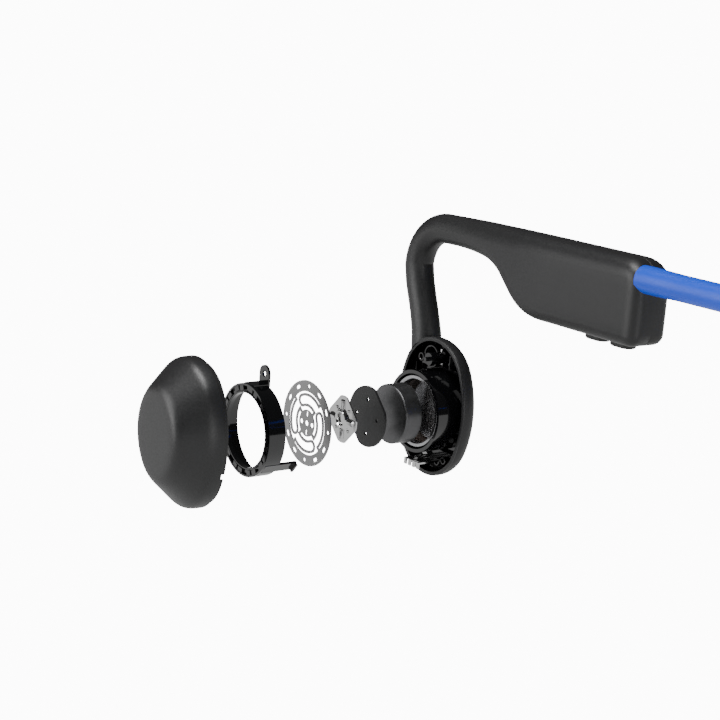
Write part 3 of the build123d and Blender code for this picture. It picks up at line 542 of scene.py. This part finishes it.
# --- covers -----------------------------------------------------------------------
# Outside of the cover: x from the seam, half width, half height, end radius, height of its middle
COVER_SKIN = [
    (0.0, 11.08, 14.55, 10.1, 0.78), (0.12, 11.2, 14.68, 10.2, 0.78), (1.4, 11.18, 14.66, 10.18, 0.80),
    (2.5, 11.02, 14.50, 10.05, 0.82), (3.3, 10.72, 14.10, 9.78, 0.85), (4.1, 10.28, 13.42, 9.36, 0.88),
    (5.0, 9.76, 12.55, 8.86, 0.92), (6.0, 9.22, 11.58, 8.32, 0.98), (7.0, 8.68, 10.62, 7.78, 1.02),
    (7.8, 8.20, 9.82, 7.30, 1.04), (8.35, 7.66, 9.10, 6.76, 1.05), (8.66, 7.02, 8.36, 6.12, 1.05),
    (8.80, 6.20, 7.50, 5.30, 1.05),
]
COVER_LIP = 1.2
COVER_WALL = 0.75
FACE_CROWN = 0.04           # rise of the face towards its middle


def make_cover(side):
    """Domed outer cover with its lip and snap window, and a button hole on the right."""
    seam = COVER_SEAM[side]
    outside = spline(COVER_SKIN, 4)
    middle = COVER_SKIN[-1][4]
    rings = [[place(side, seam + COVER_DEPTH + FACE_CROWN, 0, middle)]]
    for share in (0.25, 0.55, 0.8):
        w, h, r = outside[-1][1:4]
        rise = COVER_DEPTH + FACE_CROWN * (1 - share**2)
        rings.append(oval_ring(side, seam + rise, w * share, h * share, r * share, lift=middle))
    for x, w, h, r, lift in reversed(outside):
        rings.append(oval_ring(side, seam + x, w, h, r, lift=lift))
    for x, inset in ((0, 0.85), (-COVER_LIP + 0.1, 0.85), (-COVER_LIP, 0.95), (-COVER_LIP, 1.38),
                     (-COVER_LIP + 0.08, 1.45), (0.3, 1.45)):
        rings.append(pod_ring(side, seam + x, inset))
    for x, w, h, r, lift in outside[8:]:
        rings.append(oval_ring(side, seam + x - 0.5 * COVER_WALL, w - COVER_WALL, h - COVER_WALL,
                               r - COVER_WALL, lift=lift))
    rings.append([place(side, seam + COVER_DEPTH - COVER_WALL, 0, middle)])
    cover = stack(f"{side}_pod_cover", rings, 35)
    carve(cover, bar("cutter", side, (seam - 2, seam - 0.3), (8.4, 12.0), (-6.2, -5.0), 0.1), sharp_angle=35)
    if side == "right":
        hole = [oval_ring(side, seam + x, 4.35, 6.55, 3.95) for x in (5.0, 12.0)]
        carve(cover, stack("cutter", hole), sharp_angle=35)
    put(cover, COVER, COVER_BODY[side], "cover_grey", f"{side}_cover")


# --- outside of the dish, pads and bays -----------------------------------------------
def make_sleeve(side):
    """Soft-touch skin moulded over the outside and the rim of the dish."""
    rings = [[place(side, DISH_BACK_X - 0.04, 0, POD_LIFT)]]
    for k in range(11):
        a = math.pi / 2 * k / 10
        x = DISH_BACK_X + DISH_EDGE - (DISH_EDGE + 0.04) * math.cos(a)
        step = DISH_EDGE - (DISH_EDGE + 0.04) * math.sin(a)
        rings.append(pod_ring(side, x, step))
    for x, inset in ((RIM_X - 0.18, -0.04), (RIM_X - 0.02, 0.02), (RIM_X + 0.04, 0.16), (RIM_X + 0.04, 0.66),
                     (RIM_X, 0.74), (RIM_X - 0.2, 0.4), (DISH_BACK_X + DISH_EDGE, 0.4)):
        rings.append(pod_ring(side, x, inset))
    for k in range(7, -1, -1):
        a = math.pi / 2 * k / 8
        x = DISH_BACK_X + DISH_EDGE - 2.8 * math.cos(a)
        step = DISH_EDGE - 2.8 * math.sin(a)
        rings.append(pod_ring(side, x, step))
    rings.append([place(side, DISH_BACK_X + 0.4, 0, POD_LIFT)])
    sleeve = stack(f"{side}_pod_sleeve", rings, 50)
    put(sleeve, SOFT, "headset", "soft_black")


def make_pad(side):
    """Soft pad against the cheekbone: crowned, with its edge tucked in."""
    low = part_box(f"{side}_skin_pad")
    depth = (low[1].x - low[0].x) / MM
    back = DISH_BACK_X + 0.1
    rings = [[place(side, back, 0, POD_LIFT)]]
    for drop, inset in ((0, 3.75), (0.2, 3.45), (0.45, 3.4), (0.7, 3.6), (0.84, 4.0), (0.92, 4.8),
                        (0.96, 6.2)):
        rings.append(pod_ring(side, back - drop * (depth + 0.1) / 0.98, inset))
    rings.append([place(side, back - depth - 0.1, 0, POD_LIFT)])
    pad = stack(f"{side}_cheek_pad", rings, 70)
    put(pad, PAD, "headset", "soft_black", f"{side}_skin_pad")


CUP_CENTRES = ((1.9, -11.2), (4.0, -10.4))      # screw cups in the lower bay


def make_bays(side):
    """Fittings in the wiring bays above and below the boss."""
    floor = DISH_FLOOR_X - 0.05
    parts = []
    parts.append(turned("collar", side, [
        (floor, 2.45), (-5.35, 2.45), (-5.2, 2.32), (-5.2, 2.12), (-5.3, 2.0), (floor, 2.0)], (-2.0, 11.0)))
    parts.append(turned("eyelet", side, [
        (floor, 0.95), (-5.0, 0.95), (-4.9, 0.85), (-4.9, 0.62), (-5.0, 0.55), (floor, 0.55)], (-5.0, 10.3)))
    for y, z in CUP_CENTRES:
        parts.append(turned("cup", side, [
            (floor, 0.85), (-5.9, 0.85), (-5.8, 0.75), (-5.8, 0.55), (-5.95, 0.5), (floor, 0.5)], (y, z),
            count=40))
    parts.append(bar("rib", side, (floor, -5.5), (3.6, 4.0), (9.2, 12.2)))
    parts.append(bar("rib", side, (floor, -6.0), (-8.2, -7.8), (4.5, 8.5)))
    fittings = join(f"{side}_bay_mouldings", parts, 30)
    put(fittings, GLOSS, "headset", "gloss_black")
    screw = [(floor, 0.42), (-6.4, 0.42), (-6.3, 0.34), (-6.3, 0.01), (floor, 0.01)]
    metal = [
        bar("strap", side, (-6.3, -5.9), (-1.4, 1.0), (9.6, 10.6), 0.12),
        bar("strap", side, (-5.6, -5.3), (0.9, 1.3), (12.2, 13.2), 0.08),
        bar("strap", side, (-6.6, -6.3), (-3.9, -3.3), (8.95, 9.4), 0.08),
        *[turned("screw", side, screw, centre, count=32) for centre in CUP_CENTRES],
    ]
    put(join(f"{side}_bay_metal", metal, 30), BRIGHT, "headset", "bright_steel")


# --- things that repeat, made with geometry nodes --------------------------------------
def tree_with(name, inputs):
    """Empty geometry tree with named number inputs and one geometry output."""
    tree = bpy.data.node_groups.new(name, "GeometryNodeTree")
    for label, kind, value in inputs:
        socket = tree.interface.new_socket(label, in_out="INPUT", socket_type=kind)
        if value is not None:
            socket.default_value = value
    tree.interface.new_socket("Geometry", in_out="OUTPUT", socket_type="NodeSocketGeometry")
    return tree, tree.nodes.new("NodeGroupInput"), tree.nodes.new("NodeGroupOutput")


def realised(tree, geometry, out, material):
    """Ends a tree: realised instances with their material."""
    real = tree.nodes.new("GeometryNodeRealizeInstances")
    paint = tree.nodes.new("GeometryNodeSetMaterial")
    paint.inputs["Material"].default_value = material
    tree.links.new(geometry, real.inputs[0])
    tree.links.new(real.outputs[0], paint.inputs["Geometry"])
    tree.links.new(paint.outputs[0], out.inputs["Geometry"])


def grown(name, tree, values, shift, sharp_angle=35):
    """Plain mesh from a geometry tree with its inputs set, moved into place in its mesh."""
    ob = bpy.data.objects.new(name, bpy.data.meshes.new(name))
    bpy.context.scene.collection.objects.link(ob)
    mod = ob.modifiers.new("grow", "NODES")
    mod.node_group = tree
    sockets = {s.name: s.identifier for s in tree.interface.items_tree if s.in_out == "INPUT"}
    for label, value in values.items():
        mod[sockets[label]] = value
    bpy.context.view_layer.update()
    baked(ob)
    ob.data.transform(Matrix.Translation(shift))
    settle(ob, sharp_angle)
    return ob


def winding_tree():
    """Turns of wire side by side along x: Turns, Pitch, Radius and Wire."""
    tree, given, out = tree_with("wire_winding", [
        ("Turns", "NodeSocketInt", 12), ("Pitch", "NodeSocketFloat", 0.00025),
        ("Radius", "NodeSocketFloat", 0.0066), ("Wire", "NodeSocketFloat", 0.0001)])
    node, link = tree.nodes.new, tree.links.new
    line = node("GeometryNodeMeshLine")
    step = node("ShaderNodeCombineXYZ")
    link(given.outputs["Pitch"], step.inputs["X"])
    link(given.outputs["Turns"], line.inputs["Count"])
    link(step.outputs[0], line.inputs["Offset"])
    hoop = node("GeometryNodeCurvePrimitiveCircle")
    hoop.inputs["Resolution"].default_value = 64
    link(given.outputs["Radius"], hoop.inputs["Radius"])
    wire = node("GeometryNodeCurvePrimitiveCircle")
    wire.inputs["Resolution"].default_value = 8
    link(given.outputs["Wire"], wire.inputs["Radius"])
    tube = node("GeometryNodeCurveToMesh")
    link(hoop.outputs["Curve"], tube.inputs["Curve"])
    link(wire.outputs["Curve"], tube.inputs["Profile Curve"])
    turn = node("GeometryNodeTransform")
    turn.inputs["Rotation"].default_value = (0, math.pi / 2, 0)
    link(tube.outputs[0], turn.inputs["Geometry"])
    many = node("GeometryNodeInstanceOnPoints")
    link(line.outputs[0], many.inputs["Points"])
    link(turn.outputs[0], many.inputs["Instance"])
    realised(tree, many.outputs[0], out, COPPER)
    return tree


def stops_tree():
    """Small blocks round a circle that faces x: Count, Radius, Deep, Wide and Tall."""
    tree, given, out = tree_with("ring_stops", [
        ("Count", "NodeSocketInt", 10), ("Radius", "NodeSocketFloat", 0.0083),
        ("Deep", "NodeSocketFloat", 0.0009), ("Wide", "NodeSocketFloat", 0.0013),
        ("Tall", "NodeSocketFloat", 0.0005), ("Start", "NodeSocketFloat", 0.2)])
    node, link = tree.nodes.new, tree.links.new
    hoop = node("GeometryNodeMeshCircle")
    link(given.outputs["Count"], hoop.inputs["Vertices"])
    link(given.outputs["Radius"], hoop.inputs["Radius"])
    size = node("ShaderNodeCombineXYZ")
    link(given.outputs["Deep"], size.inputs["X"])
    link(given.outputs["Wide"], size.inputs["Y"])
    link(given.outputs["Tall"], size.inputs["Z"])
    cube = node("GeometryNodeMeshCube")
    link(size.outputs[0], cube.inputs["Size"])
    place_at = node("GeometryNodeInputPosition")
    facing = node("FunctionNodeAlignEulerToVector")
    facing.axis = "X"
    facing.pivot_axis = "Z"
    link(place_at.outputs[0], facing.inputs["Vector"])
    many = node("GeometryNodeInstanceOnPoints")
    link(hoop.outputs[0], many.inputs["Points"])
    link(cube.outputs[0], many.inputs["Instance"])
    link(facing.outputs[0], many.inputs["Rotation"])
    angle = node("ShaderNodeCombineXYZ")
    link(given.outputs["Start"], angle.inputs["Z"])
    swing = node("GeometryNodeTransform")
    link(many.outputs[0], swing.inputs["Geometry"])
    link(angle.outputs[0], swing.inputs["Rotation"])
    turn = node("GeometryNodeTransform")
    turn.inputs["Rotation"].default_value = (0, math.pi / 2, 0)
    link(swing.outputs[0], turn.inputs["Geometry"])
    realised(tree, turn.outputs[0], out, GLOSS)
    return tree


def make_windings():
    tree = winding_tree()
    for side in SIDES:
        low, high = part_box(f"{side}_voice_coil")
        turns = 14
        pitch = (high.x - low.x) / turns
        values = {"Turns": turns, "Pitch": pitch, "Radius": high.y - 0.00016, "Wire": pitch * 0.52}
        coil = grown(f"{side}_coil_winding", tree, values, Vector((low.x + pitch / 2, 0, 0)), 60)
        put(coil, COPPER, "headset", "copper", f"{side}_voice_coil")


def make_stops():
    """Small stops round each ring's inside, and the gloss lip of its sleeve."""
    tree = stops_tree()
    for side in SIDES:
        values = {"Count": 10, "Radius": 0.0083, "Deep": 0.0010, "Wide": 0.0014, "Tall": 0.0004,
                  "Start": 0.25}
        spot = place(side, RING_FRONT[side] - 0.28, 0, 0)
        stops = grown(f"{side}_ring_stops", tree, values, spot, 30)
        bevel = stops.modifiers.new("edge", "BEVEL")
        bevel.width = 0.00006
        bevel.segments = 2
        put(baked(stops), GLOSS, RING_BODY[side], "gloss_black")
        front = RING_FRONT[side]
        lip = turned(f"{side}_ring_sleeve", side, [
            (front - 1.0, 7.34), (front - 1.0, 7.7), (front - 0.1, 7.7), (front - 0.02, 7.62),
            (front - 0.02, 7.42), (front - 0.1, 7.34)], count=96)
        put(lip, GLOSS, RING_BODY[side], "gloss_black")


def smooth_tree():
    """Merges a CAD mesh's loose triangles and shades it smooth up to an angle."""
    tree, given, out = tree_with("smooth_cad", [
        ("Geometry", "NodeSocketGeometry", None), ("Angle", "NodeSocketFloat", math.radians(28))])
    node, link = tree.nodes.new, tree.links.new
    merge = node("GeometryNodeMergeByDistance")
    merge.inputs["Distance"].default_value = 1e-7
    link(given.outputs["Geometry"], merge.inputs["Geometry"])
    faces = node("GeometryNodeSetShadeSmooth")
    faces.domain = "FACE"
    link(merge.outputs[0], faces.inputs["Geometry"])
    angle = node("GeometryNodeInputMeshEdgeAngle")
    over = node("FunctionNodeCompare")
    over.operation = "GREATER_THAN"
    link(angle.outputs["Unsigned Angle"], over.inputs[0])
    link(given.outputs["Angle"], over.inputs[1])
    edges = node("GeometryNodeSetShadeSmooth")
    edges.domain = "EDGE"
    edges.inputs["Shade Smooth"].default_value = False
    link(faces.outputs[0], edges.inputs["Geometry"])
    link(over.outputs[0], edges.inputs["Selection"])
    link(edges.outputs[0], out.inputs["Geometry"])
    return tree


def dress_cad():
    """Finish and smooth shading for every CAD node that stays in sight."""
    tree = smooth_tree()
    for name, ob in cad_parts.items():
        short = name.split("_", 1)[1] if name.split("_")[0] in SIDES else name
        if short not in CAD_FINISH:
            continue
        if not ob.data.materials:
            ob.data.materials.append(None)
        for index in range(len(ob.material_slots)):
            ob.material_slots[index].link = "OBJECT"
            ob.material_slots[index].material = CAD_FINISH[short]
        ob.modifiers.new("smooth", "NODES").node_group = tree


# --- hub clip ---------------------------------------------------------------------
CLIP_HEIGHT = 0.95
CLIP_RADIUS = 4.9
CLIP_CUT = 4.2              # diagonal flats, measured from the axis
# Rows of a fold: distance from the axis, half width, share of its full height
FOLD_ROWS = ((2.0, 0.45, 0.35), (2.15, 0.72, 1), (3.1, 0.95, 1), (3.95, 0.8, 1), (4.1, 0.5, 0.35))


def clip_fold(side, foot, turn):
    """One roof-shaped fold of the clip, lying across the disc at the given turn."""
    rows = []
    for along, half, height in FOLD_ROWS:
        row = []
        for across, rise in ((-1, 0), (-0.72, 0.34), (-0.2, 0.68), (0.2, 0.68), (0.72, 0.34), (1, 0)):
            z = across * half
            row.append(place(side, foot + rise * height, along * math.cos(turn) - z * math.sin(turn),
                             along * math.sin(turn) + z * math.cos(turn)))
        rows.append(row)
    return stack("fold", rows, 25)


def make_clip(side):
    """Pressed clip: a cut disc with a folded, raised middle and its tongues."""
    base = CLIP_FRONT[side] - CLIP_HEIGHT
    rings = []
    for x, shrink in ((base, 0.06), (base + 0.06, 0), (base + 0.27, 0), (base + 0.33, 0.06)):
        ring = []
        for i in range(96):
            a = 2 * math.pi * i / 96
            radius = CLIP_RADIUS
            for flat in (45, 135, 225, 315):
                turn = math.cos(a - math.radians(flat))
                if turn > 0.01:
                    radius = min(radius, CLIP_CUT / turn)
            ring.append(place(side, x, (radius - shrink) * math.cos(a), (radius - shrink) * math.sin(a)))
        rings.append(ring)
    parts = [stack("disc", rings, 30)]
    parts.append(turned("cup", side, [
        (base + 0.2, 2.5), (base + 0.34, 2.42), (base + 0.62, 1.95), (base + 0.93, 1.75), (base + 0.93, 1.45),
        (base + 0.5, 1.2), (base + 0.2, 1.15)]))
    for turn in (0, 90, 180, 270):
        parts.append(clip_fold(side, base + 0.2, math.radians(turn)))
    for turn in (45, 135, 225, 315):
        a = math.radians(turn)
        y, z = 2.95 * math.cos(a), 2.95 * math.sin(a)
        parts.append(bar("tongue", side, (base + 0.25, base + 0.6), (y - 0.3, y + 0.3), (z - 0.3, z + 0.3),
                         0.12))
    clip = join(f"{side}_hub_clip_pressing", parts, 30)
    put(clip, BRIGHT, CLIP_BODY[side], "bright_steel", f"{side}_hub_clip")


# --- neckband ---------------------------------------------------------------------
def make_band():
    """Round silicone band with a thicker boot where it leaves each housing."""
    low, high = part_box("neckband")
    radius = (high.z - low.z) / 2
    span = high.x - radius
    start = low.y
    height = (high.z + low.z) / 2
    bend_y = high.y - radius - span
    rows = []
    for k in range(0, 25):
        rows.append((span, start + (bend_y - start) * k / 24, 0.0))
    path = [(Vector((x, y, height)), Vector((0, 1, 0)), (y - start) / MM) for x, y, _ in rows]
    for k in range(1, 96):
        a = math.pi * k / 96
        path.append((Vector((span * math.cos(a), bend_y + span * math.sin(a), height)),
                     Vector((-math.sin(a), math.cos(a), 0)), 99.0))
    for spot, way, along in list(reversed(path[:25])):
        path.append((Vector((-spot.x, spot.y, height)), Vector((0, -1, 0)), along))
    rings = []
    for spot, way, along in path:
        thick = radius * (0.94 + 0.06 * min(max((9 - along) / 6, 0), 1))
        out = way.cross(Vector((0, 0, 1)))
        ring = []
        for i in range(32):
            a = 2 * math.pi * i / 32
            ring.append(spot + out * (thick * math.cos(a)) + Vector((0, 0, thick * math.sin(a))))
        rings.append(ring)
    put(stack("neckband_skin", rings, 50), BAND, "headset", "band_blue", "neckband")


make_camera()
make_studio()
for pod_side in SIDES:
    make_shell(pod_side)
    make_cover(pod_side)
    make_sleeve(pod_side)
    make_pad(pod_side)
    make_bays(pod_side)
    make_clip(pod_side)
make_windings()
make_stops()
make_band()
dress_cad()
